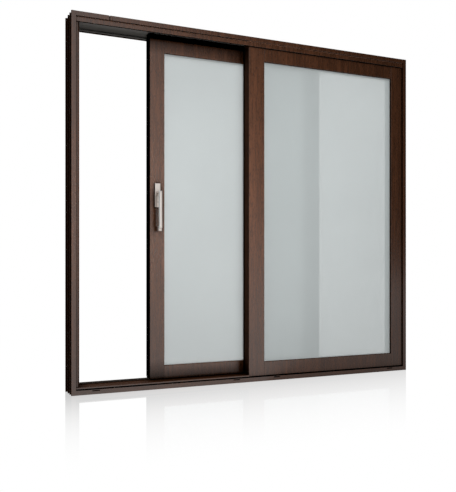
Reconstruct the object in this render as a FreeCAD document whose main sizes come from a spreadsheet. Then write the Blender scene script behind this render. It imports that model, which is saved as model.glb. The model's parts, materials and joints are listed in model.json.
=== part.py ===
import FreeCAD, Part
import os
import re
import Sketcher

# Glass sliding patio door: a timber frame, a fixed glazed panel in the front track and a glazed panel
# that rolls behind it. Millimetres, X to the right, Y away from the viewer, Z up. The origin is the
# middle of the sill's underside.

# Driving sizes, each set by itself
SIZES = {
    # outer frame
    "frame_width": 2380,
    "frame_height": 2200,
    "jamb_width": 40,
    "jamb_lip": 26,
    "face_recess": 10,
    "panel_gap": 13,
    "rear_gap": 5,
    "rear_lip_depth": 6,
    "stop_reach": 21,
    "stop_depth": 12.5,
    "stop_clearance": 5.5,
    "fin_reach": 10,
    "fin_front": 14,
    "fin_middle": 6,
    "fin_rear": 12,
    "groove_front": 34,
    "groove_middle": 40,
    "fixing_hole_radius": 5,
    "fixing_hole_inset": 300,
    "fixing_hole_from_rear": 37,
    # head
    "head_lip": 27,
    "head_groove": 7,
    "trim_height": 24,
    "trim_gap": 5,
    "trim_thickness": 7,
    "trim_end_gap": 1.5,
    "head_rear_height": 70,
    "track_ceiling_thickness": 5,
    "track_front_wall": 8,
    "track_rear_wall": 6,
    "plug_from_left": 227,
    "plug_width": 13,
    "plug_gap": 5,
    "plug_joint": 0.6,
    # sill
    "sill_lip": 27,
    "sill_seal_height": 7.5,
    "sill_seal_setback": 4,
    "tread_height": 9,
    "tread_nosing": 7,
    "tread_rear_from_panel": 6,
    "sill_rear_height": 48,
    "sill_rail_width": 8,
    "sill_rail_height": 12,
    "drain_length": 45,
    "drain_height": 6,
    "drain_depth": 14,
    "drain_level": 21,
    "drain_outer_inset": 143,
    "drain_inner_offset": 145,
    # panels
    "panel_width": 1212,
    "panel_thickness": 64,
    "outer_stile": 93,
    "meeting_stile": 111,
    "fixed_bottom_rail": 88,
    "fixed_top_rail": 82,
    "sliding_bottom_rail": 76.5,
    "sliding_top_rail": 78,
    "fixed_edge_gap": 5,
    "fixed_rear_gap": 2,
    "slide_opening": 500,
    "sliding_floor_gap": 7,
    "sliding_head_gap": 9,
    "seal_inset": 4,
    "edge_seal_thickness": 4,
    "fixed_interlock_depth": 8,
    "sliding_interlock_depth": 4,
    "interlock_width": 20,
    # glazing
    "glass_setback": 14,
    "pane_thickness": 6,
    "pane_gap": 14,
    "rebate": 15,
    "pane_edge_gap": 3,
    "spacer_width": 10,
    "spacer_corner_gap": 1,
    # running gear
    "carriage_groove_width": 28,
    "carriage_groove_height": 44,
    "carriage_inset": 200,
    "carriage_length": 120,
    "carriage_width": 24,
    "carriage_rail_gap": 5,
    "roller_spacing": 70,
    "roller_radius": 15,
    "roller_width": 12,
    "roller_groove_depth": 3,
    "roller_groove_width": 9,
    "roller_play": 0.3,
    "roller_pocket_gap": 2.5,
    "axle_radius": 4,
    "axle_play": 0.05,
    "guide_width": 44,
    "guide_height": 34,
    # handle
    "pivot_height": 1180,
    "neck_radius": 12,
    "neck_play": 0.05,
    "neck_end_gap": 0.3,
    "plate_width": 35,
    "plate_height": 147,
    "plate_below_pivot": 81,
    "plate_thickness": 10,
    "plate_edge_radius": 2,
    "lever_standoff": 70,
    "lever_width": 17,
    "lever_thickness": 20,
    "lever_edge_radius": 4,
    "lever_above_pivot": 15,
    "lever_below_pivot": 227,
    "foot_setback": 14,
    "foot_reach": 18,
    "foot_height": 17,
    "foot_lap": 13,
    "spindle_side": 8,
    "spindle_bore_radius": 7,
}

# Places worked out from the driving sizes
PLACES = {
    "frame_depth": "face_recess + 2 * panel_thickness + panel_gap + rear_gap + rear_lip_depth",
    "left": "-frame_width / 2",
    "right": "frame_width / 2",
    "front": "-frame_depth / 2",
    "rear": "frame_depth / 2",
    "left_inner": "left + jamb_width",
    "right_inner": "right - jamb_width",
    "left_lip": "left + jamb_lip",
    "right_lip": "right - jamb_lip",
    "rear_lip": "rear - rear_lip_depth",
    # planes across the depth
    "fixed_face": "front + face_recess",
    "fixed_rear": "fixed_face + panel_thickness",
    "sliding_face": "fixed_rear + panel_gap",
    "sliding_rear": "sliding_face + panel_thickness",
    "track_middle": "sliding_face + panel_thickness / 2",
    "stop_rear": "sliding_face - stop_clearance",
    "stop_front": "stop_rear - stop_depth",
    "pocket_rear": "fixed_rear + fixed_rear_gap",
    "tread_front": "fixed_face - tread_nosing",
    "tread_rear": "fixed_rear + tread_rear_from_panel",
    # levels
    "head_bottom": "frame_height - head_lip",
    "trim_top": "head_bottom - head_groove",
    "trim_bottom": "trim_top - trim_height",
    "soffit": "trim_bottom - trim_gap",
    "track_ceiling": "head_bottom - track_ceiling_thickness",
    "head_rear_bottom": "frame_height - head_rear_height",
    "tread_bottom": "sill_lip + sill_seal_height",
    "tread_top": "tread_bottom + tread_height",
    "rail_top": "tread_top + sill_rail_height",
    # fixed panel
    "fixed_right": "right_lip - fixed_edge_gap",
    "fixed_left": "fixed_right - panel_width",
    "fixed_bottom": "tread_bottom",
    "fixed_top": "soffit",
    # sliding panel
    "sliding_left": "left + slide_opening",
    "sliding_right": "sliding_left + panel_width",
    "sliding_bottom": "tread_top + sliding_floor_gap",
    "sliding_top": "soffit - sliding_head_gap",
    "carriage_groove_top": "sliding_bottom + carriage_groove_height",
    "carriage_bottom": "rail_top + carriage_rail_gap",
    "axle_level": "rail_top + roller_radius - roller_groove_depth + roller_play",
    "pivot_x": "sliding_left + outer_stile / 2",
}

WORD = re.compile(r"[a-z][a-z_]*")
OUTLINE_SPREAD = 10.0

doc = FreeCAD.newDocument("patio_door")
sheet = doc.addObject("Spreadsheet::Sheet", "Sizes")
for row, (alias, size) in enumerate(SIZES.items(), start=1):
    sheet.set(f"A{row}", alias)
    sheet.set(f"B{row}", str(size))
    sheet.setAlias(f"B{row}", alias)
doc.recompute()

sub_parts = []


def bind(text):
    """Turn plain words such as "left + jamb_lip" into an expression on the sheet's cells."""
    def swap(match):
        word = match.group(0)
        if word in PLACES:
            return "(" + bind(PLACES[word]) + ")"
        return "Sizes." + word
    return WORD.sub(swap, text)


def bar(name, x, y, z):
    """A square-edged bar between a low and a high place on each axis."""
    box = doc.addObject("Part::Box", name)
    for side, axis, (low, high) in (("Length", "x", x), ("Width", "y", y), ("Height", "z", z)):
        box.setExpression(side, bind(f"({high}) - ({low})"))
        box.setExpression(f"Placement.Base.{axis}", bind(low))
    return box


def rod(name, x, y, z, radius, length, along):
    """A round rod that starts at a place and runs along one axis."""
    cylinder = doc.addObject("Part::Cylinder", name)
    turns = {"x": FreeCAD.Rotation(FreeCAD.Vector(0, 1, 0), 90),
             "y": FreeCAD.Rotation(FreeCAD.Vector(1, 0, 0), -90)}
    cylinder.Placement = FreeCAD.Placement(FreeCAD.Vector(), turns[along])
    cylinder.setExpression("Radius", bind(radius))
    cylinder.setExpression("Height", bind(length))
    for axis, place in zip("xyz", (x, y, z)):
        cylinder.setExpression(f"Placement.Base.{axis}", bind(place))
    return cylinder


def cut(name, base, tools):
    """What is left of a blank after each tool is taken away in turn."""
    for number, tool in enumerate(tools, start=1):
        last = number == len(tools)
        result = doc.addObject("Part::Cut", name if last else f"{name}_cut_{number}")
        result.Base = base
        result.Tool = tool
        base = result
    return base


def group(name, solids):
    """Like pieces that don't touch, kept together as one sub-part."""
    compound = doc.addObject("Part::Compound", name)
    compound.Links = solids
    return compound


def fuse(name, solids):
    union = doc.addObject("Part::MultiFuse", name)
    union.Shapes = solids
    return union


def body_sketch(body, name, plane, low, high):
    """A sketch on one of the body's own planes, moved to where its pad starts."""
    sketch = body.newObject("Sketcher::SketchObject", name)
    support = [item for item in body.Origin.OriginFeatures if item.Role == plane][0]
    sketch.AttachmentSupport = [(support, "")]
    sketch.MapMode = "FlatFace"
    start = f"-({high})" if plane == "XZ_Plane" else low
    sketch.setExpression("AttachmentOffset.Base.z", bind(start))
    return sketch


def hold(sketch, geometry, point, place):
    """Pin a sketch point at a place given by two expressions."""
    for kind, text in zip(("DistanceX", "DistanceY"), place):
        index = sketch.addConstraint(Sketcher.Constraint(kind, -1, 1, geometry, point, 1.0))
        sketch.setExpression(f"Constraints[{index}]", bind(text))


def pad(body, sketch, low, high):
    feature = body.newObject("PartDesign::Pad", sketch.Name + "_pad")
    feature.Profile = sketch
    feature.setExpression("Length", bind(f"({high}) - ({low})"))
    return feature


def pad_outline(body, name, plane, low, high, corners):
    """Pad a closed outline of straight lines between two places along the plane's axis."""
    sketch = body_sketch(body, name, plane, low, high)
    count = len(corners)
    spots = [FreeCAD.Vector(OUTLINE_SPREAD * i, OUTLINE_SPREAD * i * i, 0) for i in range(count)]
    for i in range(count):
        sketch.addGeometry(Part.LineSegment(spots[i], spots[(i + 1) % count]))
    for i in range(count):
        sketch.addConstraint(Sketcher.Constraint("Coincident", i, 2, (i + 1) % count, 1))
    for i, corner in enumerate(corners):
        hold(sketch, i, 1, corner)
    return pad(body, sketch, low, high)


def pad_circle(body, name, plane, low, high, centre, radius):
    sketch = body_sketch(body, name, plane, low, high)
    middle = FreeCAD.Vector(OUTLINE_SPREAD, OUTLINE_SPREAD, 0)
    sketch.addGeometry(Part.Circle(middle, FreeCAD.Vector(0, 0, 1), OUTLINE_SPREAD))
    hold(sketch, 0, 3, centre)
    index = sketch.addConstraint(Sketcher.Constraint("Radius", 0, OUTLINE_SPREAD))
    sketch.setExpression(f"Constraints[{index}]", bind(radius))
    return pad(body, sketch, low, high)


def rectangle(a, b):
    """Corners of a rectangle between a low and a high place on two axes."""
    return [(a[0], b[0]), (a[1], b[0]), (a[1], b[1]), (a[0], b[1])]


def round_face(body, feature, direction, radius):
    """Round all edges of the face that lies furthest in a direction."""
    doc.recompute()
    faces = feature.Shape.Faces
    reach = [face.CenterOfMass.dot(direction) for face in faces]
    furthest = reach.index(max(reach)) + 1
    fillet = body.newObject("PartDesign::Fillet", feature.Name + "_round")
    fillet.Base = (feature, [f"Face{furthest}"])
    fillet.setExpression("Radius", bind(radius))
    return fillet


def keep(label, shape):
    """Give a finished piece its own label, which also names its file."""
    shape.Label = label
    sub_parts.append(shape)


# Frame

def outer_fins(side, inward):
    """The grooved outer side of a jamb, from its rear corner to its front corner."""
    floor = f"{side} {inward} fin_reach"
    first = "front + fin_front"
    second = f"{first} + groove_front"
    third = f"{second} + fin_middle"
    fourth = f"{third} + groove_middle"
    fifth = f"{fourth} + fin_middle"
    sixth = "rear - fin_rear"
    corners = [(side, "rear")]
    for back, ahead in ((sixth, fifth), (fourth, third), (second, first)):
        corners += [(side, back), (floor, back), (floor, ahead), (side, ahead)]
    return corners + [(side, "front")]


def fixing_holes(name, x):
    """Two holes through a jamb for the screws that hold the frame in its wall."""
    levels = ("fixing_hole_inset", "frame_height - fixing_hole_inset")
    return [rod(f"{name}_hole_{i}", x, "rear - fixing_hole_from_rear", level,
                "fixing_hole_radius", "jamb_width", "x") for i, level in enumerate(levels)]


def left_jamb():
    """Jamb that the sliding panel closes into, with a stop in front of it and a lip behind it."""
    blank = doc.addObject("PartDesign::Body", "left_jamb_blank")
    inner = [("left_lip", "front"), ("left_lip", "fixed_face"),
             ("left_inner", "fixed_face"), ("left_inner", "rear")]
    pad_outline(blank, "left_jamb_section", "XY_Plane", "0", "frame_height",
                outer_fins("left", "+") + inner)
    reach = ("left_inner", "left_inner + stop_reach")
    pad_outline(blank, "left_jamb_stop", "XY_Plane", "tread_top", "track_ceiling",
                rectangle(reach, ("stop_front", "stop_rear")))
    pad_outline(blank, "left_jamb_rear_lip", "XY_Plane", "sill_rear_height", "head_rear_bottom",
                rectangle(reach, ("rear_lip", "rear")))
    keep("left_jamb", cut("left_jamb", blank, fixing_holes("left_jamb", "left")))


def right_jamb():
    """Jamb with a pocket for the fixed panel's edge."""
    blank = doc.addObject("PartDesign::Body", "right_jamb_blank")
    inner = [("right_lip", "front"), ("right_lip", "pocket_rear"),
             ("right_inner", "pocket_rear"), ("right_inner", "rear")]
    pad_outline(blank, "right_jamb_section", "XY_Plane", "0", "frame_height",
                outer_fins("right", "-") + inner)
    pad_outline(blank, "right_jamb_rear_lip", "XY_Plane", "sill_rear_height", "head_rear_bottom",
                rectangle(("right_inner - stop_reach", "right_inner"), ("rear_lip", "rear")))
    keep("right_jamb", cut("right_jamb", blank, fixing_holes("right_jamb", "right - jamb_width")))


def between_jambs():
    """Plan of the head and the sill where they fit between the jambs."""
    return [("left_lip", "front"), ("right_lip", "front"), ("right_lip", "pocket_rear"),
            ("right_inner", "pocket_rear"), ("right_inner", "rear"), ("left_inner", "rear"),
            ("left_inner", "fixed_face"), ("left_lip", "fixed_face")]


def head():
    """Board across the top, with a lip behind the sliding panel and a filler over the fixed one."""
    blank = doc.addObject("PartDesign::Body", "head_blank")
    pad_outline(blank, "head_plan", "XY_Plane", "head_bottom", "frame_height", between_jambs())
    pad_outline(blank, "head_rear_lip", "XY_Plane", "head_rear_bottom", "head_bottom",
                rectangle(("left_inner", "right_inner"), ("rear_lip", "rear")))
    pad_outline(blank, "head_filler", "XY_Plane", "soffit", "head_bottom",
                rectangle(("fixed_left", "right_lip"), ("fixed_face", "pocket_rear")))
    plug_left = "left + plug_from_left"
    plug_right = f"{plug_left} + plug_width"
    notch = bar("head_notch", (f"{plug_left} - plug_gap", f"{plug_right} + plug_joint"),
                ("front", "fixed_face"), ("head_bottom", "frame_height"))
    keep("head", cut("head", blank, [notch]))
    keep("head_joint_plug", bar("head_joint_plug", (plug_left, plug_right),
                                ("front", "fixed_face"), ("head_bottom", "frame_height")))
    keep("head_trim", bar("head_trim", ("left_lip + trim_end_gap", "right_lip - trim_end_gap"),
                          ("fixed_face - trim_thickness", "fixed_face"), ("trim_bottom", "trim_top")))


def head_track():
    """Lining of the hollow under the head: a ceiling, a wall behind the trim and one at the rear."""
    body = doc.addObject("PartDesign::Body", "head_track")
    plan = [("left_inner", "fixed_face"), ("fixed_left", "fixed_face"), ("fixed_left", "pocket_rear"),
            ("right_inner", "pocket_rear"), ("right_inner", "rear_lip"), ("left_inner", "rear_lip")]
    pad_outline(body, "head_track_ceiling", "XY_Plane", "track_ceiling", "head_bottom", plan)
    pad_outline(body, "head_track_front", "XY_Plane", "trim_bottom", "track_ceiling",
                rectangle(("left_inner", "fixed_left"), ("fixed_face", "fixed_face + track_front_wall")))
    pad_outline(body, "head_track_rear", "XY_Plane", "soffit", "track_ceiling",
                rectangle(("left_inner", "right_inner"), ("rear_lip - track_rear_wall", "rear_lip")))
    keep("head_track", body)


def sill():
    blank = doc.addObject("PartDesign::Body", "sill_blank")
    pad_outline(blank, "sill_plan", "XY_Plane", "0", "sill_lip", between_jambs())
    pad_outline(blank, "sill_rear_lip", "XY_Plane", "sill_lip", "sill_rear_height",
                rectangle(("left_inner", "right_inner"), ("rear_lip", "rear")))
    middles = ("left + drain_outer_inset", "-drain_inner_offset",
               "drain_inner_offset", "right - drain_outer_inset")
    drains = [bar(f"drain_{i}", (f"{middle} - drain_length / 2", f"{middle} + drain_length / 2"),
                  ("front", "front + drain_depth"),
                  ("drain_level - drain_height / 2", "drain_level + drain_height / 2"))
              for i, middle in enumerate(middles)]
    keep("sill", cut("sill", blank, drains))


def sill_top():
    """What lies on the sill: its black seal, the tread in the opening, the rear track and its rail."""
    across = ("left_inner", "right_inner")
    keep("sill_seal", bar("sill_seal", across, ("fixed_face + sill_seal_setback", "rear_lip"),
                          ("sill_lip", "tread_bottom")))
    tread = doc.addObject("PartDesign::Body", "sill_tread")
    plan = [("left_lip", "tread_front"), ("fixed_left", "tread_front"), ("fixed_left", "tread_rear"),
            ("left_inner", "tread_rear"), ("left_inner", "fixed_face"), ("left_lip", "fixed_face")]
    pad_outline(tread, "sill_tread_plan", "XY_Plane", "tread_bottom", "tread_top", plan)
    keep("sill_tread", tread)
    level = ("tread_bottom", "tread_top")
    keep("sill_track", bar("sill_track", across, ("tread_rear", "rear_lip"), level))
    keep("sill_rail", bar("sill_rail", across,
                          ("track_middle - sill_rail_width / 2", "track_middle + sill_rail_width / 2"),
                          ("tread_top", "rail_top")))


# Glazed panels

def glazed_panel(name, left_stile, right_stile, stile_cuts, rail_cuts):
    """Two stiles, two rails and a double-glazed unit held by beads from behind."""
    face = f"{name}_face"
    rear = f"{name}_rear"
    left = f"{name}_left"
    right = f"{name}_right"
    bottom = f"{name}_bottom"
    top = f"{name}_top"
    # sight edges of the glass, then the edges of the rebate round it
    sight_left = f"{left} + {left_stile}"
    sight_right = f"{right} - {right_stile}"
    sight_bottom = f"{bottom} + {name}_bottom_rail"
    sight_top = f"{top} - {name}_top_rail"
    seat_x = (f"{sight_left} - rebate", f"{sight_right} + rebate")
    seat_z = (f"{sight_bottom} - rebate", f"{sight_top} + rebate")
    depth = (face, rear)
    seat = (f"{face} + glass_setback", rear)
    between = (sight_left, sight_right)
    within = (sight_bottom, sight_top)

    def member(label, x, z, rebate_x, rebate_z, more_cuts):
        blank = bar(f"{label}_blank", x, depth, z)
        rebate = bar(f"{label}_rebate", rebate_x, seat, rebate_z)
        keep(label, cut(label, blank, [rebate] + more_cuts(label, x)))

    height = (bottom, top)
    member(f"{name}_left_stile", (left, sight_left), height, (seat_x[0], sight_left), seat_z,
           stile_cuts)
    member(f"{name}_right_stile", (sight_right, right), height, (sight_right, seat_x[1]), seat_z,
           stile_cuts)
    member(f"{name}_bottom_rail", between, (bottom, sight_bottom), between,
           (seat_z[0], sight_bottom), rail_cuts)
    member(f"{name}_top_rail", between, (sight_top, top), between, (sight_top, seat_z[1]), no_cuts)

    pane_x = (f"{seat_x[0]} + pane_edge_gap", f"{seat_x[1]} - pane_edge_gap")
    pane_z = (f"{seat_z[0]} + pane_edge_gap", f"{seat_z[1]} - pane_edge_gap")
    outer_rear = f"{seat[0]} + pane_thickness"
    inner_face = f"{outer_rear} + pane_gap"
    inner_rear = f"{inner_face} + pane_thickness"
    keep(f"{name}_outer_pane", bar(f"{name}_outer_pane", pane_x, (seat[0], outer_rear), pane_z))
    keep(f"{name}_inner_pane", bar(f"{name}_inner_pane", pane_x, (inner_face, inner_rear), pane_z))

    cavity = (outer_rear, inner_face)
    upright = (f"{pane_z[0]} + spacer_width + spacer_corner_gap",
               f"{pane_z[1]} - spacer_width - spacer_corner_gap")
    strips = [((pane_x[0], f"{pane_x[0]} + spacer_width"), upright),
              ((f"{pane_x[1]} - spacer_width", pane_x[1]), upright),
              (pane_x, (pane_z[0], f"{pane_z[0]} + spacer_width")),
              (pane_x, (f"{pane_z[1]} - spacer_width", pane_z[1]))]
    keep(f"{name}_spacers", group(f"{name}_spacers", [
        bar(f"{name}_spacer_{i}", x, cavity, z) for i, (x, z) in enumerate(strips)]))

    behind = (inner_rear, rear)
    beads = {"left": ((seat_x[0], sight_left), seat_z), "right": ((sight_right, seat_x[1]), seat_z),
             "bottom": (between, (seat_z[0], sight_bottom)), "top": (between, (sight_top, seat_z[1]))}
    for side, (x, z) in beads.items():
        keep(f"{name}_{side}_bead", bar(f"{name}_{side}_bead", x, behind, z))


def no_cuts(label, x):
    return []


def carriage_groove(label, x):
    """Groove along the panel's underside, which the rail and the carriages run in."""
    half = "carriage_groove_width / 2"
    return [bar(f"{label}_groove", x, (f"track_middle - {half}", f"track_middle + {half}"),
                ("sliding_bottom", "carriage_groove_top"))]


def sliding_stile_cuts(label, x):
    cuts = carriage_groove(label, x)
    if label == "sliding_left_stile":
        cuts.append(rod(f"{label}_bore", "pivot_x", "sliding_face", "pivot_height",
                        "spindle_bore_radius", "panel_thickness", "y"))
    return cuts


def fixed_panel():
    glazed_panel("fixed", "meeting_stile", "outer_stile", no_cuts, no_cuts)
    height = ("fixed_bottom", "fixed_top")
    keep("fixed_interlock", bar("fixed_interlock",
                                ("fixed_left + seal_inset", "fixed_left + seal_inset + interlock_width"),
                                ("fixed_rear", "fixed_rear + fixed_interlock_depth"),
                                ("tread_top", "fixed_top")))
    keep("jamb_seal", bar("jamb_seal", ("fixed_right", "right_lip"),
                          ("fixed_face + seal_inset", "fixed_rear - seal_inset"), height))


def sliding_panel():
    glazed_panel("sliding", "outer_stile", "meeting_stile", sliding_stile_cuts, carriage_groove)
    height = ("sliding_bottom", "sliding_top")
    strip = ("sliding_right - seal_inset - interlock_width", "sliding_right - seal_inset")
    keep("sliding_interlock", bar("sliding_interlock", strip,
                                  ("sliding_face - sliding_interlock_depth", "sliding_face"), height))
    keep("sliding_edge_seal", bar("sliding_edge_seal",
                                  ("sliding_left - edge_seal_thickness", "sliding_left"),
                                  ("sliding_face + seal_inset", "sliding_rear - seal_inset"),
                                  ("carriage_bottom", "sliding_top")))


# Running gear

def roller(name, x):
    """Grooved roller with its axle."""
    widths = {"rim": ("roller_width", "roller_radius"),
              "axle": ("carriage_width", "axle_radius")}
    solids = {piece: rod(f"{name}_{piece}", x, f"track_middle - {width} / 2", "axle_level",
                         radius, width, "y") for piece, (width, radius) in widths.items()}
    groove = "roller_groove_width"
    ring = cut(f"{name}_ring",
               rod(f"{name}_groove", x, f"track_middle - {groove} / 2", "axle_level",
                   "roller_radius + roller_groove_depth", groove, "y"),
               [rod(f"{name}_root", x, f"track_middle - {groove} / 2", "axle_level",
                    "roller_radius - roller_groove_depth", groove, "y")])
    wheel = cut(f"{name}_wheel", solids["rim"], [ring])
    return fuse(name, [wheel, solids["axle"]])


def carriage(name, middle, roller_places):
    """Block under the bottom rail with a pocket and an axle bore for each roller."""
    blank = bar(f"{name}_blank", (f"{middle} - carriage_length / 2", f"{middle} + carriage_length / 2"),
                ("track_middle - carriage_width / 2", "track_middle + carriage_width / 2"),
                ("carriage_bottom", "carriage_groove_top"))
    reach = "roller_radius + roller_pocket_gap"
    half = "roller_width / 2 + roller_pocket_gap / 2"
    tools = []
    for i, x in enumerate(roller_places):
        tools.append(bar(f"{name}_pocket_{i}", (f"{x} - ({reach})", f"{x} + ({reach})"),
                         (f"track_middle - ({half})", f"track_middle + ({half})"),
                         ("carriage_bottom", f"axle_level + {reach}")))
        tools.append(rod(f"{name}_bore_{i}", x, "track_middle - carriage_width / 2", "axle_level",
                         "axle_radius + axle_play", "carriage_width", "y"))
    return cut(name, blank, tools)


def running_gear():
    """Rollers in two carriages under the panel, and a guide along its top that runs in the head."""
    middles = ("sliding_left + carriage_inset", "sliding_right - carriage_inset")
    rollers = []
    carriages = []
    for i, middle in enumerate(middles):
        places = (f"{middle} - roller_spacing / 2", f"{middle} + roller_spacing / 2")
        rollers += [roller(f"roller_{i}_{j}", x) for j, x in enumerate(places)]
        carriages.append(carriage(f"carriage_{i}", middle, places))
    keep("rollers", group("rollers", rollers))
    keep("carriages", group("carriages", carriages))
    keep("top_guide", bar("top_guide", ("sliding_left - edge_seal_thickness", "sliding_right"),
                          ("track_middle - guide_width / 2", "track_middle + guide_width / 2"),
                          ("sliding_top", "sliding_top + guide_height")))


# Handle

def side_of_panel(side):
    """Face that a side's handle stands on, and the sign of the way out of it."""
    return ("sliding_face", "-") if side == "front" else ("sliding_rear", "+")


def span(near, far, sign):
    """Low and high ends of a stretch that starts near the panel and runs away from it."""
    return (near, far) if sign == "+" else (far, near)


def backplate(side):
    face, out = side_of_panel(side)
    label = f"{side}_backplate"
    low, high = span(face, f"{face} {out} plate_thickness", out)
    blank = doc.addObject("PartDesign::Body", f"{label}_blank")
    bottom = "pivot_height - plate_below_pivot"
    plate = pad_outline(blank, f"{label}_outline", "XZ_Plane", low, high,
                        rectangle(("pivot_x - plate_width / 2", "pivot_x + plate_width / 2"),
                                  (bottom, f"{bottom} + plate_height")))
    way = FreeCAD.Vector(0, -1 if out == "-" else 1, 0)
    round_face(blank, plate, way, "plate_edge_radius")
    bore = rod(f"{label}_bore", "pivot_x", low, "pivot_height", "neck_radius + neck_play",
               "plate_thickness", "y")
    keep(label, cut(label, blank, [bore]))


def lever(side):
    """Long lever: a round neck, a straight grip that hangs down and a foot set back at its lower end."""
    face, out = side_of_panel(side)
    label = f"{side}_lever"
    tip = f"{face} {out} lever_standoff"
    inward = "+" if out == "-" else "-"
    grip_back = f"{tip} {inward} lever_thickness"
    body = doc.addObject("PartDesign::Body", label)
    width = ("pivot_x - lever_width / 2", "pivot_x + lever_width / 2")
    foot_bottom = "pivot_height - lever_below_pivot"
    bottom = f"{foot_bottom} + foot_height"
    top = "pivot_height + lever_above_pivot"
    low, high = span(grip_back, tip, out)
    grip = pad_outline(body, f"{label}_grip", "XZ_Plane", low, high, rectangle(width, (bottom, top)))
    way = FreeCAD.Vector(0, -1 if out == "-" else 1, 0)
    round_face(body, grip, way, "lever_edge_radius")
    low, high = span(f"{grip_back} {inward} foot_reach", f"{tip} {inward} foot_setback", out)
    pad_outline(body, f"{label}_foot", "XZ_Plane", low, high,
                rectangle(width, (foot_bottom, f"{bottom} + foot_lap")))
    low, high = span(f"{face} {out} neck_end_gap", grip_back, out)
    pad_circle(body, f"{label}_neck", "XZ_Plane", low, high, ("pivot_x", "pivot_height"), "neck_radius")
    keep(label, body)


def handle():
    for side in ("front", "rear"):
        backplate(side)
        lever(side)
    half = "spindle_side / 2"
    keep("spindle", bar("spindle", (f"pivot_x - {half}", f"pivot_x + {half}"),
                        ("sliding_face - neck_end_gap", "sliding_rear + neck_end_gap"),
                        (f"pivot_height - {half}", f"pivot_height + {half}")))


left_jamb()
right_jamb()
head()
head_track()
sill()
sill_top()
fixed_panel()
sliding_panel()
running_gear()
handle()
doc.recompute()

# Nothing is written unless every object was made and every sub-part is a sound solid
for item in doc.Objects:
    if "Invalid" in item.State or "Error" in item.State:
        raise RuntimeError(f"{item.Name} failed: {item.State}")
for part in sub_parts:
    if part.Shape.isNull() or not part.Shape.isValid() or not part.Shape.Solids:
        raise RuntimeError(f"{part.Label} is not a sound solid")

os.makedirs("parts", exist_ok=True)
for part in sub_parts:
    part.Shape.exportStep(f"parts/{part.Label}.step")
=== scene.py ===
import json
import math

import bmesh
import bpy
from mathutils import Euler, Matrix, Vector

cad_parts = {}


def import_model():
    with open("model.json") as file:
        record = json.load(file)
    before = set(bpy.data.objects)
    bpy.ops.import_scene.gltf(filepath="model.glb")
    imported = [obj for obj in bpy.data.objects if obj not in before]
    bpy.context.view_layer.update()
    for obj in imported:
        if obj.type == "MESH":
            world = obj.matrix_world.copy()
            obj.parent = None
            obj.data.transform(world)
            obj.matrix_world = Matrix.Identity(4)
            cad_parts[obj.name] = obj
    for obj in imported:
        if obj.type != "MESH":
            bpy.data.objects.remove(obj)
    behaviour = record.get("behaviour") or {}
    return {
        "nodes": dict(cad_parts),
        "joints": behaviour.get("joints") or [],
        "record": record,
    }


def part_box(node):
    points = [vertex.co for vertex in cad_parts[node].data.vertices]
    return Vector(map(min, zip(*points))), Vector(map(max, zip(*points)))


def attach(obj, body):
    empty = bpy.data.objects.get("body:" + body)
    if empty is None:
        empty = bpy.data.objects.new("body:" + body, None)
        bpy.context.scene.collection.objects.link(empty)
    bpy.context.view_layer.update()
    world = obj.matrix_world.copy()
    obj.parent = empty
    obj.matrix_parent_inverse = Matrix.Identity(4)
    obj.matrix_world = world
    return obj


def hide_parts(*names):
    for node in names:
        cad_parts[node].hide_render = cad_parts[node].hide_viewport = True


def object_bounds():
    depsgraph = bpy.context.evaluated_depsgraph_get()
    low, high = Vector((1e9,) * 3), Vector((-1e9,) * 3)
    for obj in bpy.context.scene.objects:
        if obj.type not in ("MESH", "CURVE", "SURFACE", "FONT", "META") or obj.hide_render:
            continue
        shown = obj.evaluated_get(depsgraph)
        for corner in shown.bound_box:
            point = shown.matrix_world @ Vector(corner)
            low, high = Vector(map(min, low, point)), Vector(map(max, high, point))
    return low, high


# Glass sliding patio door: dark stained timber, pale satin glass and a satin nickel lever handle.
# Metres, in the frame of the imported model: X to the right, Y away from the viewer, Z up.
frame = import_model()
cad_box = [list(corner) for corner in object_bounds()]

MM = 0.001
TIMBER_SLOTS = ("frame_wood", "panel_wood")
BODY_OF = {node: body for body, nodes in frame["record"]["behaviour"]["bodies"].items() for node in nodes}
SLOT_OF = {part["node"]: part["material_slot"] for part in frame["record"]["subparts"]}

# The photograph's height in pixels and its camera, worked out from the door's straight edges
IMAGE_HEIGHT = 492
FOCAL_PIXELS = 719.9
HORIZON_ROW = 263.15
CAMERA_PLACE = (-2.126, -4.169, 0.757)
CAMERA_TURN = math.radians(25.16)
SENSOR = 36.0

# Radius of the eased edges, by slot and on the small mouldings, and the steps across one
ARRIS = {"frame_wood": 1.2 * MM, "panel_wood": 1.2 * MM, "seal_black": 0.6 * MM, "track_grey": 0.5 * MM,
         "rail_aluminium": 1.5 * MM}
SMALL_ARRIS = 0.8 * MM
SMALL_MOULDINGS = ("bead", "trim", "plug")
ARRIS_STEPS = 2
# Corners closer than this are one, faces closer in angle than this are one, and sharper edges are eased
WELD = 0.01 * MM
FLAT = math.radians(1)
SHARP = math.radians(30)
# A face looks along an axis when this share of its normal lies there
FACING = 0.6

# How far apart in the wood's pattern two boards lie, and the width of one strip of veneer
BOARD_SPREAD = 59.0
VENEER_STRIP = 235 * MM
# How far the painted shade in a corner reaches out of it and how dark it is; and the same, deeper, on the
# panel that stands back under the head
CORNER_SHADE = {"reach": 86 * MM, "depth": 2.6}
DEEP_CORNER_SHADE = {"reach": 130 * MM, "depth": 3.0}
# How far the painted shade of the lever reaches over its backplate
PLATE_SHADE_REACH = 45 * MM
# Depth of a finish's relief
RELIEF = 0.2 * MM

# Recesses in the front of the sill and head, behind their eased edges
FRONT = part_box("sill")[0][1]
RECESS_START = FRONT + 1.5 * MM
RECESS_END = FRONT + 14.5 * MM
# The front wall of the head's lining ends here, and its rear wall is this thick
LINING_FRONT = FRONT + 17 * MM
LINING_REAR_WALL = 6 * MM
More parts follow.
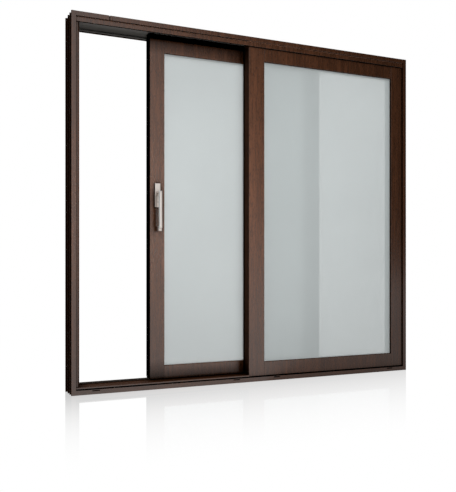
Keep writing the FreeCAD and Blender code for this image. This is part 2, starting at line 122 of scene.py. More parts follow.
# Half way up the trim under the head's lip, and the open joint beside the plug in the lip
TRIM_MIDDLE = (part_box("head_trim")[0][2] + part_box("head_trim")[1][2]) / 2
JOINT_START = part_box("head_joint_plug")[0][0] - 6 * MM
JOINT_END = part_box("head_joint_plug")[1][0] + 2 * MM
# The faces that the seals brush
SLIDING_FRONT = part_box("sliding_left_stile")[0][1]
FIXED_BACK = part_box("fixed_left_stile")[1][1]
GUIDE_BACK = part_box("top_guide")[1][1]

# Brush seals: distance between tufts and rows, thickness and lean of a tuft, its height as a share of
# the strip's, and clearance to what it brushes, on the frame and on the sliding panel
TUFT_SPACING = 4 * MM
TUFT_THICKNESS = 2.4 * MM
TUFT_LEAN = 0.4 * MM
TUFT_HEIGHT = (0.88, 1.0)
PILE_CLEARANCE = 1 * MM
PANEL_PILE_CLEARANCE = 3 * MM
# Height of the brush strip above the foot of the lining's rear wall
STRIP_LIFT = 4 * MM
# Rubber lip of the interlock: how far its root is sunk, across and in depth, where it bends, its reach,
# thickness at its root, and steps along its curve
LIP_SINK = 0.5 * MM
LIP_SETBACK = 2 * MM
LIP_BEND = 5.5 * MM
LIP_REACH = 6.5 * MM
LIP_THICKNESS = 2.4 * MM
LIP_STEPS = 8
# Glazing silicone: thickness of its round bead, how far it stands off the timber and its corner radius
SILICONE = 1.6 * MM
SILICONE_INSET = SILICONE * 0.3
SILICONE_CORNER = 4 * MM
# Grub screw of a backplate: radius, height, socket, and its place below the spindle
SCREW_RADIUS = 3.4 * MM
SCREW_HEIGHT = 0.9 * MM
SCREW_SOCKET = 2.0 * MM
SCREW_DROP = 50 * MM
SCREW_SIDES = 24


def linear(colour, tone=1.0):
    """An sRGB hex colour as linear red, green, blue and alpha, made darker or paler by tone."""
    parts = [int(colour[i:i + 2], 16) / 255 for i in (1, 3, 5)]
    parts = [p / 12.92 if p <= 0.04045 else ((p + 0.055) / 1.055) ** 2.4 for p in parts]
    return tuple(p * tone for p in parts) + (1.0,)


def grey(value):
    """A linear grey."""
    return (value, value, value, 1.0)


# Nodes

def connect(tree, node, inputs):
    """Set a node's sockets, given as values or as links."""
    for name, value in inputs.items():
        if isinstance(value, bpy.types.NodeSocket):
            tree.links.new(value, node.inputs[name])
        else:
            node.inputs[name].default_value = value


def add(tree, kind, inputs=None, **settings):
    """Add a node; settings are its own fields, inputs its sockets."""
    node = tree.nodes.new(kind if "Node" in kind else "ShaderNode" + kind)
    for field, value in settings.items():
        setattr(node, field, value)
    connect(tree, node, inputs or {})
    return node


def maths(tree, kind, a, b=0.0):
    """One sum on two values."""
    return add(tree, "Math", {0: a, 1: b}, operation=kind).outputs[0]


def blend(tree, factor, a, b):
    """A value between a and b."""
    return add(tree, "Mix", {"Factor": factor, "A": a, "B": b}).outputs["Result"]


def ranged(tree, value, start, end, low=0.0, high=1.0, smooth=False):
    """Low at start and before it, high at end and after it, straight or smooth between them."""
    return add(tree, "MapRange", {"Value": value, "From Min": start, "From Max": end, "To Min": low,
                                  "To Max": high},
               interpolation_type="SMOOTHSTEP" if smooth else "LINEAR").outputs["Result"]


def ramp(tree, factor, stops):
    """A colour ramp from a list of place and colour."""
    node = add(tree, "ValToRGB", {"Fac": factor})
    elements = node.color_ramp.elements
    while len(elements) < len(stops):
        elements.new(1.0)
    for element, (place, colour) in zip(elements, stops):
        element.position = place
        element.color = colour
    return node.outputs["Color"]


def object_place(tree):
    """The place on the door, in metres."""
    return add(tree, "TexCoord").outputs["Object"]


def noise(tree, place, size, detail):
    """Soft noise with spots of the given size."""
    return add(tree, "TexNoise", {"Vector": place, "Scale": 1 / size, "Detail": detail}).outputs["Fac"]


def relief(tree, height, strength):
    """The normal of a surface with a shallow relief."""
    return add(tree, "Bump", {"Height": height, "Strength": strength, "Distance": RELIEF}).outputs["Normal"]


def new_material(name):
    """An empty material with its shader and output."""
    material = bpy.data.materials.new(name)
    material.use_nodes = True
    tree = material.node_tree
    tree.nodes.clear()
    shader = add(tree, "BsdfPrincipled")
    add(tree, "OutputMaterial", {"Surface": shader.outputs["BSDF"]})
    return material, tree, shader


# Materials

def stained_timber(name, grain, corner, tone=1.0, varnish=0.8, shine=0.5, rough=0.20):
    """Hardwood, planed, stained dark brown and varnished: long fibre streaks, short dark pores and a
    satin film that greys where it mirrors a bright room; painted shade makes it dull and dark in corners."""
    material, tree, shader = new_material(name)
    board = add(tree, "ObjectInfo").outputs["Random"]
    shift = maths(tree, "MULTIPLY", board, BOARD_SPREAD)

    def stretched(width, length):
        scale = [1 / width] * 3
        scale["XYZ".index(grain)] = 1 / length
        return add(tree, "Mapping", {"Vector": object_place(tree), "Scale": scale}).outputs["Vector"]

    def fibres(width, length, detail):
        return add(tree, "TexNoise", {"Vector": stretched(width, length), "W": shift, "Scale": 1.0,
                                      "Detail": detail, "Roughness": 0.6, "Distortion": 0.3},
                   noise_dimensions="4D").outputs["Fac"]

    def times(a, b):
        return add(tree, "Mix", {"Factor": 1.0, 6: a, 7: b}, data_type="RGBA",
                   blend_type="MULTIPLY").outputs[2]

    # streaks, fibres and pores are drawn a few times coarser than in real wood, so that they show
    streak = fibres(30 * MM, 900 * MM, 4.0)
    fibre = fibres(11 * MM, 120 * MM, 3.0)
    pore = fibres(5 * MM, 22 * MM, 2.0)
    # veneer is laid in strips of one figure: darker at one edge, with a pale line at the other
    across = add(tree, "SeparateXYZ", {"Vector": stretched(VENEER_STRIP, VENEER_STRIP)}).outputs
    strip = maths(tree, "FLOORED_MODULO", across["Z" if grain == "X" else "X"], 1.0)
    figure = ramp(tree, strip, [(0.0, grey(0.44)), (0.30, grey(0.47)), (0.55, grey(0.51)),
                                (0.93, grey(0.54)), (0.955, grey(0.66)), (0.98, grey(0.47))])
    mixed = blend(tree, 0.3, blend(tree, 0.55, streak, fibre), figure)
    wood = ramp(tree, mixed, [(0.36, linear("#381f12", tone)), (0.47, linear("#402616", tone)),
                              (0.53, linear("#492c1b", tone)), (0.64, linear("#573521", tone))])
    dashes = ramp(tree, pore, [(0.52, grey(1.0)), (0.66, grey(0.62))])
    # painted shade: darker, with less film and shine, in corners, from ambient occlusion
    unshaded = add(tree, "AmbientOcclusion", {"Distance": corner["reach"]}, samples=8).outputs["AO"]
    shade_factor = maths(tree, "POWER", unshaded, corner["depth"])
    connect(tree, shader, {
        "Base Color": times(times(wood, dashes), shade_factor),
        "Coat Weight": maths(tree, "MULTIPLY", shade_factor, varnish),
        "Specular IOR Level": maths(tree, "MULTIPLY", shade_factor, shine),
        "Roughness": ranged(tree, fibre, 0.0, 1.0, rough - 0.04, rough + 0.04),
        "Normal": relief(tree, dashes, 0.25),
        "Coat Roughness": 0.16,
    })
    return material


def satin_glass():
    """Float glass with a satin, pale blue-grey inner face: a milky veil over what stands behind it."""
    material, tree, shader = new_material("satin_float_glass")
    cloud = noise(tree, object_place(tree), 0.7, 2.0)
    veil = ramp(tree, cloud, [(0.35, linear("#dde3e3")), (0.65, linear("#e1e7e7"))])
    connect(tree, shader, {"Base Color": veil, "Roughness": 0.12, "IOR": 1.5, "Alpha": 0.42})
    return material


def satin_nickel():
    """Nickel plate over zinc, brushed along its length and dulled to a warm satin."""
    material, tree, shader = new_material("satin_nickel")
    brushed = (1 / (0.6 * MM), 1 / (0.6 * MM), 1 / (30 * MM))
    place = add(tree, "Mapping", {"Vector": object_place(tree), "Scale": brushed}).outputs["Vector"]
    lines = noise(tree, place, 1.0, 3.0)
    tone = ramp(tree, lines, [(0.3, linear("#eee4dc")), (0.7, linear("#f4eae2"))])
    # painted shade: darker behind the lever, from ambient occlusion
    plate_shade = add(tree, "AmbientOcclusion", {"Color": tone, "Distance": PLATE_SHADE_REACH}, samples=8)
    connect(tree, shader, {"Base Color": plate_shade.outputs["Color"], "Metallic": 1.0,
                           "Roughness": ranged(tree, lines, 0.0, 1.0, 0.28, 0.32)})
    return material


def fine_grained(name, dark, pale, grain, rough, metallic=0.0, shine=0.5):
    """A plain finish with a fine tooth: moulded rubber or nylon, or a coated metal."""
    material, tree, shader = new_material(name)
    tooth = noise(tree, object_place(tree), grain, 3.0)
    connect(tree, shader, {
        "Base Color": ramp(tree, tooth, [(0.3, linear(dark)), (0.7, linear(pale))]),
        "Roughness": ranged(tree, tooth, 0.0, 1.0, rough - 0.06, rough + 0.06),
        "Normal": relief(tree, tooth, 0.15),
        "Metallic": metallic,
        "Specular IOR Level": shine,
    })
    return material


# Black painted into slots, gaps and under the head's trim, where there is only shade: painted shade
SHADE_BLACK = fine_grained("shade_black_timber", "#070403", "#0d0806", 3.0 * MM, 0.8, shine=0.02)
# Silicone for the glazing beads and the head's groove, made paler there as painted light; the tan sealant
# is painted light in the lining's groove
SILICONE_AND_GROOVE_LIGHT = fine_grained("silicone_and_groove_light", "#6a4935", "#745140", 2.0 * MM, 0.45)
SEALANT_PAINTED_LIGHT = fine_grained("sealant_painted_light", "#b08066", "#ba8a70", 2.0 * MM, 0.45)
# The finishes of a board, and of the head's lining, in the order of their material slots
FACE, EDGE, SIDE, PAINTED_SHADE, LIT_GROOVE, STOP = range(6)
LINING_COATED, LINING_PAINTED_SHADE, LINING_LIT_GROOVE = range(3)
# How much paler than a face a jamb's stop is painted: painted light in the recess behind its lip
STOP_PAINTED_LIGHT = 2.4


def timber_set(name, grain, edge_painted_tone, side_painted_tone, corner=CORNER_SHADE):
    """The finishes of one board, in the order of its material slots."""
    bare = {"varnish": 0.0, "shine": 0.05, "rough": 0.8}
    return [
        stained_timber(name + "_face", grain, corner),
        # level edges have stain but no film; their darker tone on the level boards is painted shade
        stained_timber(name + "_edge", grain, corner, edge_painted_tone, **bare),
        # upright edges are bare too; their tone, paler on the frame and darker on the panels, is painted
        # light and shade
        stained_timber(name + "_side", grain, corner, side_painted_tone, **bare),
        SHADE_BLACK,
        SILICONE_AND_GROOVE_LIGHT,
        # stops, behind the lips, have a thin film and a paler tone, which is painted light
        stained_timber(name + "_stop", grain, corner, STOP_PAINTED_LIGHT, varnish=0.2, shine=0.1, rough=0.6),
    ]


# the tones of edges and sides are painted light and shade for how light falls on them
LEVEL_TIMBER = timber_set("level_stained_timber", "X", edge_painted_tone=0.62, side_painted_tone=1.2)
UPRIGHT_TIMBER = timber_set("upright_stained_timber", "Z", edge_painted_tone=1.0, side_painted_tone=1.2)
PANEL_TIMBER = timber_set("panel_stained_timber", "Z", edge_painted_tone=1.0, side_painted_tone=0.4)
# deeper painted shade in the corners of the boards under the head
DEEP_SHADE_TIMBER = timber_set("deep_shade_stained_timber", "Z", edge_painted_tone=1.0, side_painted_tone=0.4,
                              corner=DEEP_CORNER_SHADE)
RUBBER = fine_grained("extruded_rubber", "#010101", "#030303", 1.0 * MM, 0.8, shine=0.0)
PILE = fine_grained("black_nylon_pile", "#020202", "#060606", 1.0 * MM, 0.9, shine=0.02)
STEEL = fine_grained("zinc_plated_steel", "#a9a9a6", "#bcbcb8", 2.0 * MM, 0.35, metallic=1.0)
FINISH = {
    "glass": satin_glass(),
    "handle_metal": satin_nickel(),
    "track_grey": fine_grained("powder_coated_aluminium", "#86837f", "#8e8b87", 1.5 * MM, 0.7, shine=0.1),
    "seal_black": RUBBER,
    "rail_aluminium": fine_grained("dark_anodised_aluminium", "#4a423c", "#574e47", 1.0 * MM, 0.4,
                                   metallic=0.9),
    "gear_steel": STEEL,
    "roller_plastic": fine_grained("moulded_nylon", "#1a1a1a", "#222222", 1.0 * MM, 0.45),
    "spacer_aluminium": fine_grained("mill_aluminium", "#9fa2a2", "#b0b3b3", 1.0 * MM, 0.4, metallic=0.9),
}
# Boards whose grain runs across the door; the rest runs up it
LEVEL_BOARDS = {"sill", "sill_tread", "sill_track"}
# Boards of the sliding panel that stand back under the head, with deeper painted shade in their corners
DEEP_SHADE_BOARDS = {"sliding_top_rail", "sliding_left_stile", "sliding_right_stile"}


def finishes_of(node):
    """The finishes of a node, in the order of its material slots."""
    slot = SLOT_OF[node]
    if node == "head_track":
        # grey lining, with painted light and painted shade round its front wall
        return [FINISH[slot], SHADE_BLACK, SEALANT_PAINTED_LIGHT]
    if slot in FINISH:
        return [FINISH[slot]]
    if slot == "panel_wood":
        return DEEP_SHADE_TIMBER if node in DEEP_SHADE_BOARDS else PANEL_TIMBER
    return LEVEL_TIMBER if node in LEVEL_BOARDS else UPRIGHT_TIMBER


# Pieces

def keep(piece, body):
    """Put a finished piece on a body."""
    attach(piece, body)
    return piece


def mesh_piece(name, bm, materials):
    """A finished mesh as an object of the scene."""
    mesh = bpy.data.meshes.new(name)
    bm.to_mesh(mesh)
    bm.free()
    for material in materials:
        mesh.materials.append(material)
    piece = bpy.data.objects.new(name, mesh)
    bpy.context.scene.collection.objects.link(piece)
    return piece


def timber_kind(node, face):
    """Which of a board's finishes a face has."""
    place = face.calc_center_median()
    across, through, up = (abs(part) for part in face.normal)
    recessed = RECESS_START < place.y < RECESS_END
    # painted shade: black in the sill's slots
    if node == "sill" and recessed:
        return PAINTED_SHADE
    # painted shade: black in the joint by the plug and below the trim's middle; above it, paler silicone as
    # painted light
    if node == "head" and recessed:
        joint = JOINT_START < place.x < JOINT_END
        return PAINTED_SHADE if joint or place.z < TRIM_MIDDLE else LIT_GROOVE
    # painted shade: black under the trim
    if node == "head_trim" and face.normal.z < -FACING:
        return PAINTED_SHADE
    # painted light: a paler tone on the jamb's stops
    if node.endswith("_jamb") and face.normal.y < -FACING and place.y > RECESS_END:
        return STOP
    if through > FACING:
        # painted shade: black on the head's faces behind the door's middle that face forward
        return PAINTED_SHADE if node == "head" and place.y > 0 > face.normal.y else FACE
    return SIDE if across > up else EDGE


def lining_kind(face):
    """Which finish a face of the head's lining has: grey inside, pale sealant as painted light or black as
    painted shade round its front wall.
    """
    place = face.calc_center_median()
    if place.y > LINING_FRONT:
        return LINING_COATED
    return LINING_PAINTED_SHADE if place.z < TRIM_MIDDLE else LINING_LIT_GROOVE


def eased(node, arris):
    """The node's own solid with its sharp edges rounded, as a joiner eases them."""
    bm = bmesh.new()
    bm.from_mesh(frame["nodes"][node].data)
    bmesh.ops.remove_doubles(bm, verts=bm.verts, dist=WELD)
    bmesh.ops.dissolve_limit(bm, angle_limit=FLAT, verts=bm.verts, edges=bm.edges)
    sharp = [e for e in bm.edges if len(e.link_faces) == 2 and e.calc_face_angle() > SHARP]
    bmesh.ops.bevel(bm, geom=sharp, offset=arris, segments=ARRIS_STEPS, profile=0.5, affect="EDGES",
                    clamp_overlap=True)
    if node in ("head", "head_track"):
        # behind the trim the finish changes, from painted light above its middle to painted shade below
        everything = bm.verts[:] + bm.edges[:] + bm.faces[:]
        bmesh.ops.bisect_plane(bm, geom=everything, plane_co=(0, 0, TRIM_MIDDLE), plane_no=(0, 0, 1))
    for face in bm.faces:
        if node == "head_track":
            face.material_index = lining_kind(face)
        elif SLOT_OF[node] in TIMBER_SLOTS:
            face.material_index = timber_kind(node, face)
    piece = keep(mesh_piece(f"eased_{node}", bm, finishes_of(node)), BODY_OF[node])
    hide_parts(node)
    return piece


def new_tree(name, sizes):
    """An empty node tree for shapes, with a path to follow and named sizes; the tree and its inputs."""
    tree = bpy.data.node_groups.new(name, "GeometryNodeTree")
    tree.interface.new_socket("Path", in_out="INPUT", socket_type="NodeSocketGeometry")
    for size in sizes:
        tree.interface.new_socket(size, in_out="INPUT", socket_type="NodeSocketFloat")
    tree.interface.new_socket("Shape", in_out="OUTPUT", socket_type="NodeSocketGeometry")
    return tree, add(tree, "NodeGroupInput").outputs


def end_tree(tree, shape, material):
    """Close a tree: real geometry with its material."""
    real = add(tree, "GeometryNodeRealizeInstances", {"Geometry": shape}).outputs["Geometry"]
    painted = add(tree, "GeometryNodeSetMaterial", {"Geometry": real, "Material": material})
    add(tree, "NodeGroupOutput", {"Shape": painted.outputs["Geometry"]})
    return tree


def grown(name, path, tree, sizes):
    """Run a tree along a path mesh with the given sizes, and keep its result as a plain mesh."""
    piece = bpy.data.objects.new(name, path)
    bpy.context.scene.collection.objects.link(piece)
    modifier = piece.modifiers.new(name, "NODES")
    modifier.node_group = tree
    for socket in tree.interface.items_tree:
        if socket.in_out == "INPUT" and socket.name in sizes:
            modifier[socket.identifier] = sizes[socket.name]
    result = bpy.data.meshes.new_from_object(
        piece.evaluated_get(bpy.context.evaluated_depsgraph_get()))
    piece.modifiers.remove(modifier)
    piece.data = result
    return piece


def brush_tree():
    """Tufts of pile that stand along a path, each leaning a little its own way."""
    tree, given = new_tree("brush_pile", ("Spacing", "Thickness"))
    curve = add(tree, "GeometryNodeMeshToCurve", {"Mesh": given["Path"]}).outputs["Curve"]
    rows = add(tree, "GeometryNodeResampleCurve", {"Curve": curve, "Length": given["Spacing"]},
               mode="LENGTH").outputs["Curve"]
    pile = add(tree, "GeometryNodeInputNamedAttribute", {"Name": "pile"},
               data_type="FLOAT_VECTOR").outputs["Attribute"]
    lean = add(tree, "FunctionNodeRandomValue", {0: (-TUFT_LEAN,) * 3, 1: (TUFT_LEAN,) * 3, "Seed": 5},
               data_type="FLOAT_VECTOR").outputs["Value"]
    leaning = add(tree, "VectorMath", {0: pile, 1: lean}, operation="ADD").outputs["Vector"]
    turn = add(tree, "FunctionNodeAlignRotationToVector", {"Vector": leaning}, axis="Z")
    length = add(tree, "VectorMath", {0: pile}, operation="LENGTH").outputs["Value"]
    cut = add(tree, "FunctionNodeRandomValue", {2: TUFT_HEIGHT[0], 3: TUFT_HEIGHT[1], "Seed": 7}).outputs[1]
    height = maths(tree, "MULTIPLY", length, cut)
    scale = add(tree, "CombineXYZ", {"X": given["Thickness"], "Y": given["Thickness"], "Z": height})
    tuft = add(tree, "GeometryNodeMeshCone", {"Vertices": 5, "Radius Top": 0.38, "Radius Bottom": 0.5,
                                              "Depth": 1.0}).outputs["Mesh"]
    tufts = add(tree, "GeometryNodeInstanceOnPoints", {"Points": rows, "Instance": tuft,
                                                       "Rotation": turn.outputs["Rotation"],
                                                       "Scale": scale.outputs["Vector"]})
    return end_tree(tree, tufts.outputs["Instances"], PILE)


def silicone_tree():
    """A round bead of silicone along closed loops, with soft corners."""
    tree, given = new_tree("silicone_bead", ("Thickness", "Corner"))
    curve = add(tree, "GeometryNodeMeshToCurve", {"Mesh": given["Path"]}).outputs["Curve"]
    soft = add(tree, "GeometryNodeFilletCurve", {"Curve": curve, "Count": 4, "Radius": given["Corner"]},
               mode="POLY").outputs["Curve"]
    radius = maths(tree, "MULTIPLY", given["Thickness"], 0.5)
    ring = add(tree, "GeometryNodeCurvePrimitiveCircle", {"Resolution": 8, "Radius": radius})
    bead = add(tree, "GeometryNodeCurveToMesh", {"Curve": soft, "Profile Curve": ring.outputs["Curve"]})
    smooth = add(tree, "GeometryNodeSetShadeSmooth", {"Geometry": bead.outputs["Mesh"]})
    return end_tree(tree, smooth.outputs["Geometry"], SILICONE_AND_GROOVE_LIGHT)


def tuft_rows(edge):
    """Where two rows of tufts stand across a strip, from its edge."""
    first = edge + TUFT_THICKNESS / 2
    return first, first + TUFT_SPACING


def pile_strip(carrier, axis, edges, root, tip):
    """The rows of one brush strip: along an axis of its carrier, one at each edge given, from root to
    tip in depth. Each row is its two ends and its pile."""
    low, high = (Vector(corner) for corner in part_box(carrier))
    across = {"X": "z", "Z": "x"}[axis]
    rows = []
    for edge in edges:
        ends = low.copy(), high.copy()
        for end in ends:
            end.y = root
            setattr(end, across, edge)
        rows.append((ends, Vector((0.0, tip - root, 0.0))))
    return rows


def brush_piece(name, rows, tree, body):
    """All the brush strips of one body."""
    path = bpy.data.meshes.new(f"{name}_path")
    points = [end for ends, _ in rows for end in ends]
    path.from_pydata(points, [(i, i + 1) for i in range(0, len(points), 2)], [])
    pile = path.attributes.new("pile", "FLOAT_VECTOR", "POINT")
    for i, (_, way) in enumerate(rows):
        pile.data[2 * i].vector = way
        pile.data[2 * i + 1].vector = way
    piece = grown(name, path, tree, {"Spacing": TUFT_SPACING, "Thickness": TUFT_THICKNESS})
    return keep(piece, body)


def silicone_piece(name, panel, tree, body):
    """The silicone round a panel's outer pane, in the corner of the timber."""
    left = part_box(f"{panel}_left_stile")[1][0] + SILICONE_INSET
    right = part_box(f"{panel}_right_stile")[0][0] - SILICONE_INSET
    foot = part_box(f"{panel}_bottom_rail")[1][2] + SILICONE_INSET
    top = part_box(f"{panel}_top_rail")[0][2] - SILICONE_INSET
    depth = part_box(f"{panel}_outer_pane")[0][1]
    corners = [(x, depth, z) for x, z in ((left, foot), (right, foot), (right, top), (left, top))]
    path = bpy.data.meshes.new(f"{name}_path")
    path.from_pydata(corners, [(i, (i + 1) % 4) for i in range(4)], [])
    piece = grown(name, path, tree, {"Thickness": SILICONE, "Corner": SILICONE_CORNER})
    return keep(piece, body)


def grub_screws():
    """The socket screw that locks each backplate, below the spindle."""
    bm = bmesh.new()
    pivot = next(joint for joint in frame["joints"] if joint["name"] == "handle_turn")["pos_m"]
    # rings of the screw as radius, height and whether the ring is the hexagon of its socket
    rings = [(SCREW_RADIUS, -SCREW_HEIGHT, False), (SCREW_RADIUS, 0.6 * SCREW_HEIGHT, False),
             (0.85 * SCREW_RADIUS, SCREW_HEIGHT, False), (SCREW_SOCKET, SCREW_HEIGHT, True),
             (SCREW_SOCKET, 0.1 * SCREW_HEIGHT, True)]
    step = 2 * math.pi / SCREW_SIDES
    for plate, face, way in (("front_backplate", 0, -1), ("rear_backplate", 1, 1)):
        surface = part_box(plate)[face][1]
        loops = []
        for radius, height, hexagon in rings:
            loop = []
            for i in range(SCREW_SIDES):
                angle = i * step
                flat = (angle + math.pi / 6) % (math.pi / 3) - math.pi / 6
                reach = radius / math.cos(flat) * math.cos(math.pi / 6) if hexagon else radius
                loop.append(bm.verts.new((pivot[0] + reach * math.cos(angle), surface + way * height,
                                          pivot[2] - SCREW_DROP + reach * math.sin(angle))))
            loops.append(loop)
        for one, two in zip(loops, loops[1:]):
            for i in range(SCREW_SIDES):
                j = (i + 1) % SCREW_SIDES
                bm.faces.new((one[i], one[j], two[j], two[i]))
        bm.faces.new(loops[0])
        bm.faces.new(loops[-1])
    bmesh.ops.recalc_face_normals(bm, faces=bm.faces)
    return keep(mesh_piece("backplate_screws", bm, [STEEL]), "sliding_panel")


def meeting_lip():
    """A rubber lip on the fixed panel's interlock, curled towards the face of the sliding panel."""
    low, high = (Vector(corner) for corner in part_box("fixed_interlock"))
    root = Vector((low.x + LIP_SINK, high.y - LIP_SETBACK))
    bend = root + Vector((-LIP_BEND, 0.0))
    tip = Vector((low.x - LIP_REACH, SLIDING_FRONT - PILE_CLEARANCE))
    left, right = [], []
    for i in range(LIP_STEPS + 1):
        t = i / LIP_STEPS
        place = root * (1 - t) ** 2 + bend * 2 * t * (1 - t) + tip * t ** 2
        way = ((bend - root) * (1 - t) + (tip - bend) * t).normalized()
        half = LIP_THICKNESS * (0.5 - 0.25 * t)
        left.append(place + Vector((-way.y, way.x)) * half)
        right.append(place - Vector((-way.y, way.x)) * half)
    outline = left + right[::-1]
    bm = bmesh.new()
    foot, top = ([bm.verts.new((p.x, p.y, z)) for p in outline] for z in (low.z, high.z))
    bm.faces.new(foot)
    bm.faces.new(top)
    for i in range(len(outline)):
        j = (i + 1) % len(outline)
        bm.faces.new((foot[i], foot[j], top[j], top[i]))
    bmesh.ops.recalc_face_normals(bm, faces=bm.faces)
    return keep(mesh_piece("meeting_lip", bm, [RUBBER]), "frame")


dressed = {}
for node, cad in frame["nodes"].items():
    slot = SLOT_OF[node]
    if slot in ARRIS:
        small = any(word in node for word in SMALL_MOULDINGS)
        dressed[node] = eased(node, SMALL_ARRIS if small else ARRIS[slot])
    else:
        for holder in cad.material_slots:
            holder.material = FINISH[slot]
    # light goes through the glass undimmed, apart from the pane between the two panels
    if slot == "glass" and node != "fixed_inner_pane":
        cad.visible_shadow = False

brush = brush_tree()
bead = silicone_tree()
fixed_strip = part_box("fixed_interlock")
sliding_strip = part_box("sliding_interlock")
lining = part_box("head_track")
frame_rows = pile_strip("fixed_interlock", "Z", tuft_rows(fixed_strip[0][0]), root=fixed_strip[1][1],
                        tip=SLIDING_FRONT - PILE_CLEARANCE)
frame_rows += pile_strip("head_track", "X", tuft_rows(lining[0][2] + STRIP_LIFT),
                         root=lining[1][1] - LINING_REAR_WALL, tip=GUIDE_BACK + PILE_CLEARANCE)
sliding_rows = pile_strip("sliding_interlock", "Z", tuft_rows(sliding_strip[0][0]),
                          root=sliding_strip[0][1], tip=FIXED_BACK + PANEL_PILE_CLEARANCE)
meeting_lip()
brush_piece("frame_brushes", frame_rows, brush, "frame")
brush_piece("panel_brushes", sliding_rows, brush, "sliding_panel")
silicone_piece("fixed_silicone", "fixed", bead, "frame")
silicone_piece("sliding_silicone", "sliding", bead, "sliding_panel")
grub_screws()


# Stage

# Soft light: from all sides, and how strong and narrow it is from the front
AMBIENT = 0.11
FRONT_LIGHT = 1.0
FRONT_FOCUS = 8.0
FRONT_WAY = Vector((-0.3, -0.9, 0.36))
# What the door mirrors: how bright the dark side of the room is, the slope and place of the edge where its
# white wall ends, and where its grey-blue side begins
MIRROR_DARK = 0.01
WALL_SLOPE = 0.6
WALL_EDGE = (0.62, 0.40)
ROOM_SIDE = (-0.55, -0.85)
# The floor's mirror image: its strength at the sill's two ends, how far it reaches, how fast it fades,
# and where it ends beside the door, in half widths of the door
MIRROR_STRENGTH = (0.40, 0.28)
MIRROR_REACH = 1.6
MIRROR_FADE = 1.9
MIRROR_SIDE = 1.5
# The floor that low faces mirror is dimmer towards the right: from and to which turn, and how dim
DIM_START = 0.6
DIM_END = 1.1
DIM_LEVEL = 0.46
FLOOR_REACH = 30.0


def world():
    """White for what the eye sees past the door and in the floor; a dim studio for the rest."""
    sky = bpy.data.worlds.new("studio")
    bpy.context.scene.world = sky
    sky.use_nodes = True
    tree = sky.node_tree
    tree.nodes.clear()
    path = add(tree, "LightPath").outputs
    way = add(tree, "TexCoord").outputs["Generated"]
    part = add(tree, "SeparateXYZ", {"Vector": way}).outputs

    def times(a, b):
        return maths(tree, "MULTIPLY", a, b)

    def step(value, start, end):
        return ranged(tree, value, start, end, smooth=True)

    # mirrors see the white backdrop behind the door, which is what the floor shows, cooler at the left
    backdrop = step(part["Y"], 0.0, 0.1)
    left = times(backdrop, step(part["X"], 0.05, -0.05))
    # and a grey-blue side of the room, far to the left
    aside = step(part["X"], *ROOM_SIDE)
    cool = times(maths(tree, "MAXIMUM", times(left, 0.5), aside), path["Is Glossy Ray"])
    # and, in front, a white wall that ends at the right along a sloping edge
    slope = maths(tree, "ADD", part["X"], times(part["Z"], WALL_SLOPE))
    wall = times(step(slope, *WALL_EDGE), step(part["Y"], 0.02, -0.05))
    white = maths(tree, "ADD", maths(tree, "MAXIMUM", backdrop, wall), MIRROR_DARK)
    # soft light, strongest from straight ahead
    towards = add(tree, "VectorMath", {0: way, 1: FRONT_WAY.normalized()}, operation="DOT_PRODUCT")
    facing = maths(tree, "MAXIMUM", towards.outputs["Value"], 0.0)
    ahead = times(maths(tree, "POWER", facing, FRONT_FOCUS), FRONT_LIGHT)
    soft = blend(tree, path["Is Glossy Ray"], maths(tree, "ADD", ahead, AMBIENT), white)
    seen = maths(tree, "MAXIMUM", path["Is Camera Ray"], path["Is Transmission Ray"])
    colour = ramp(tree, cool, [(0.0, grey(1.0)), (0.5, linear("#d9ecf2")), (1.0, linear("#8c9da3"))])
    back = add(tree, "Background", {"Color": colour, "Strength": blend(tree, seen, soft, 1.0)})
    add(tree, "OutputWorld", {"Surface": back.outputs["Background"]})


def polished_floor():
    """A pale polished floor: white, with a faint mirror image close to the sill."""
    material = bpy.data.materials.new("polished_floor")
    material.use_nodes = True
    tree = material.node_tree
    tree.nodes.clear()
    path = add(tree, "LightPath").outputs
    place = add(tree, "SeparateXYZ", {"Vector": object_place(tree)}).outputs
    away = maths(tree, "ABSOLUTE", place["Y"])
    past = maths(tree, "ABSOLUTE", place["X"])
    left, right = cad_box[0][0], cad_box[1][0]
    # the mirror image fades away from the sill and ends beside the door
    near = maths(tree, "POWER", ranged(tree, away, -FRONT, -FRONT + MIRROR_REACH, 1.0, 0.0), MIRROR_FADE)
    beside = ranged(tree, past, right, MIRROR_SIDE * right, 1.0, 0.0, smooth=True)
    strength = ranged(tree, place["X"], left, right, *MIRROR_STRENGTH)
    mirror = maths(tree, "MULTIPLY", maths(tree, "MULTIPLY", near, beside), strength)
    turned = maths(tree, "DIVIDE", place["X"], away)
    dimmed = ranged(tree, turned, DIM_START, DIM_END, 1.0, DIM_LEVEL)
    level = blend(tree, path["Is Camera Ray"], dimmed, 1.0)
    white = add(tree, "Emission", {"Color": grey(1.0), "Strength": level}).outputs["Emission"]
    image = add(tree, "BsdfGlossy", {"Color": grey(1.0), "Roughness": 0.05}).outputs["BSDF"]
    polished = add(tree, "MixShader", {0: mirror, 1: white, 2: image}).outputs["Shader"]
    # the light that it throws back comes from behind the door, through the opening
    bounce = ramp(tree, ranged(tree, place["Y"], -0.1, 0.2), [(0.0, grey(0.02)), (1.0, grey(0.8))])
    matt = add(tree, "BsdfDiffuse", {"Color": bounce}).outputs["BSDF"]
    seen = maths(tree, "MAXIMUM", path["Is Camera Ray"], path["Is Glossy Ray"])
    seen = maths(tree, "MAXIMUM", seen, path["Is Transmission Ray"])
    surface = add(tree, "MixShader", {0: seen, 1: matt, 2: polished}).outputs["Shader"]
    add(tree, "OutputMaterial", {"Surface": surface})
    return material


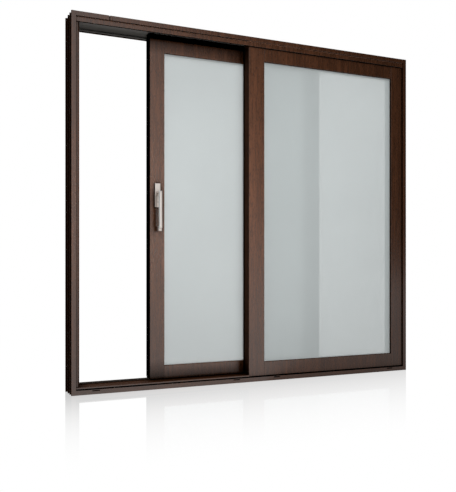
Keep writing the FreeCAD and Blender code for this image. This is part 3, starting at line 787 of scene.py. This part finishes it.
def floor():
    """The floor that the door stands on."""
    corners = [(x * FLOOR_REACH, y * FLOOR_REACH, 0) for x, y in ((-1, -1), (1, -1), (1, 1), (-1, 1))]
    mesh = bpy.data.meshes.new("floor")
    mesh.from_pydata(corners, [], [(0, 1, 2, 3)])
    mesh.materials.append(polished_floor())
    plane = bpy.data.objects.new("floor", mesh)
    plane.visible_shadow = False
    bpy.context.scene.collection.objects.link(plane)


def softbox(name, place, target, size, power, pieces=(), colour="#ffffff", glossy=False):
    """A soft area lamp that faces a point, and lights only the given pieces if there are any."""
    lamp = bpy.data.lights.new(name, "AREA")
    lamp.shape = "RECTANGLE"
    lamp.size, lamp.size_y = size
    lamp.energy = power
    lamp.color = linear(colour)[:3]
    holder = bpy.data.objects.new(name, lamp)
    holder.location = place
    holder.rotation_euler = (Vector(target) - Vector(place)).to_track_quat("-Z", "Y").to_euler()
    holder.visible_camera = False
    holder.visible_glossy = glossy
    bpy.context.scene.collection.objects.link(holder)
    if pieces:
        lit = bpy.data.collections.new(f"lit_by_{name}")
        for piece in pieces:
            lit.objects.link(piece)
        holder.light_linking.receiver_collection = lit


def lamps():
    """Lamps by material, as a photographer lights timber, glass and metal each in its own way."""
    timber = [piece for node, piece in dressed.items() if SLOT_OF[node] in TIMBER_SLOTS]
    handle = [cad for node, cad in frame["nodes"].items() if SLOT_OF[node] == "handle_metal"]
    softbox("timber_softbox", place=(-0.42, -1.28, 1.2), target=(-0.42, 0.0, 1.2), size=(0.8, 0.8),
            power=33, pieces=timber, colour="#fff6ea")
    for panel, middle, power in (("sliding", -0.5, 23), ("fixed", 0.25, 24)):
        panes = [frame["nodes"][f"{panel}_{side}_pane"] for side in ("outer", "inner")]
        softbox(f"{panel}_glass_softbox", place=(middle, -2.55, 1.3), target=(middle, 0.0, 1.3),
                size=(1.0, 1.0), power=power, pieces=panes)
    softbox("soffit_softbox", place=(-0.9, -1.5, 0.3), target=(-0.9, 0.0, 2.16), size=(0.6, 0.6),
            power=11.5, pieces=[dressed["head_track"]])
    softbox("handle_softbox", place=(-1.9, 1.7, 1.15), target=(-0.65, -0.05, 1.15), size=(1.2, 1.2),
            power=10, pieces=handle, colour="#c6e2ee", glossy=True)
    softbox("key_softbox", place=(1.4, -4.2, 4.4), target=(0.0, 0.0, 1.1), size=(1.2, 1.2), power=25)
    for name, power, pieces in (("rear_softbox", 40, ()), ("rear_timber_softbox", 150, timber + handle)):
        softbox(name, place=(0.6, 4.5, 3.2), target=(0.0, 0.0, 0.6), size=(3.0, 2.0), power=power,
                pieces=pieces)


def camera():
    """The photograph's level camera; its picture is higher than it is wide."""
    lens = bpy.data.cameras.new("camera")
    lens.sensor_width = SENSOR
    lens.lens = SENSOR * FOCAL_PIXELS / IMAGE_HEIGHT
    lens.shift_y = (HORIZON_ROW - IMAGE_HEIGHT / 2) / IMAGE_HEIGHT
    holder = bpy.data.objects.new("camera", lens)
    holder.location = CAMERA_PLACE
    holder.rotation_euler = Euler((math.radians(90), 0, -CAMERA_TURN))
    bpy.context.scene.collection.objects.link(holder)
    bpy.context.scene.camera = holder


world()
floor()
lamps()
camera()
bpy.context.scene.view_settings.view_transform = "Standard"
